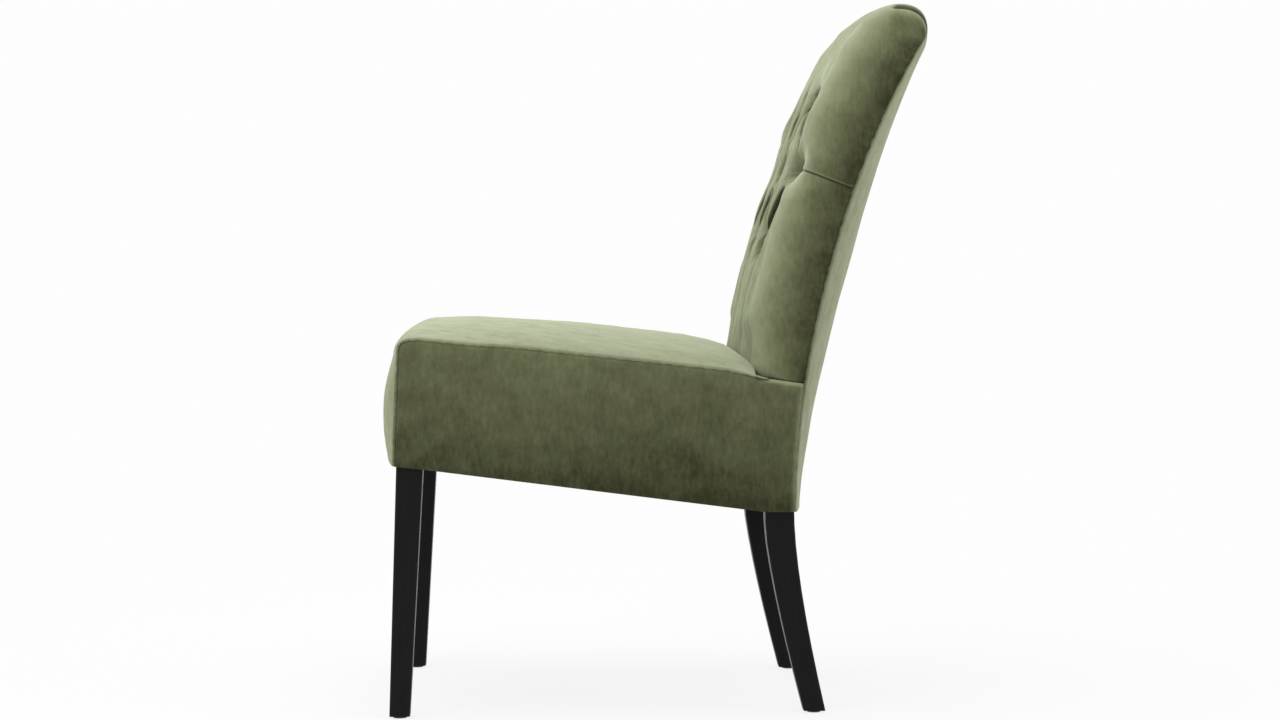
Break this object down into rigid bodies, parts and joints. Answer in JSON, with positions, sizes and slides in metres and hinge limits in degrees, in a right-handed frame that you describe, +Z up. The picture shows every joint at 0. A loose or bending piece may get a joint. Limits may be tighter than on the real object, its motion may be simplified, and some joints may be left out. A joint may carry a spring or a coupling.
{
  "type": "slipper chair",
  "caption": "Armless upholstered slipper chair with a deep-buttoned raked back, a waterfall seat and tapered black wooden legs.",
  "frame": {"origin": "on the floor, under the middle of the chair's overall width and depth", "axes": "+Z up, -Y the way the sitter faces, +X towards the sitter's left"},
  "size_m": [0.492, 0.7302, 0.9336],
  "materials": {
    "velvet": "short-pile velvet, olive green",
    "lacquered_wood": "satin black lacquer",
    "frame_wood": "planed, unfinished",
    "plywood": "sanded, unfinished",
    "foam": "open-cell upholstery foam",
    "jute_webbing": "plain woven jute",
    "dust_cloth": "black nonwoven cloth",
    "steel": "zinc-plated, satin",
    "glide_plastic": "moulded nylon"
  },
  "bodies": {
    "root": {"front_leg_left": "lacquered_wood", "front_leg_right": "lacquered_wood", "rear_leg_post_left": "lacquered_wood", "rear_leg_post_right": "lacquered_wood", "front_rail": "frame_wood", "rear_rail": "frame_wood", "side_rail_left": "frame_wood", "side_rail_right": "frame_wood", "lower_back_rail": "frame_wood", "lumbar_rail": "frame_wood", "crest_rail": "frame_wood", "corner_block_front_left": "frame_wood", "corner_block_front_right": "frame_wood", "corner_block_rear_left": "frame_wood", "corner_block_rear_right": "frame_wood", "back_panel": "plywood", "corner_bolt_front_left": "steel", "corner_bolt_front_right": "steel", "corner_bolt_rear_left": "steel", "corner_bolt_rear_right": "steel", "foot_glide_front_left": "glide_plastic", "foot_glide_front_right": "glide_plastic", "foot_glide_rear_left": "glide_plastic", "foot_glide_rear_right": "glide_plastic", "webbing_long_1": "jute_webbing", "webbing_long_2": "jute_webbing", "webbing_long_3": "jute_webbing", "webbing_cross_1": "jute_webbing", "webbing_cross_2": "jute_webbing", "webbing_cross_3": "jute_webbing", "webbing_cross_4": "jute_webbing", "inside_back_pad": "velvet", "outside_back_cover": "velvet", "seat_cover": "velvet", "seat_side_cover_left": "velvet", "seat_side_cover_right": "velvet", "back_button_1": "velvet", "back_button_2": "velvet", "back_button_3": "velvet", "back_button_4": "velvet", "back_button_5": "velvet", "back_button_6": "velvet", "back_button_7": "velvet", "back_button_8": "velvet", "back_button_9": "velvet", "back_button_10": "velvet", "seat_foam": "foam", "back_foam": "foam", "dust_cover": "dust_cloth"}
  },
  "joints": []
}
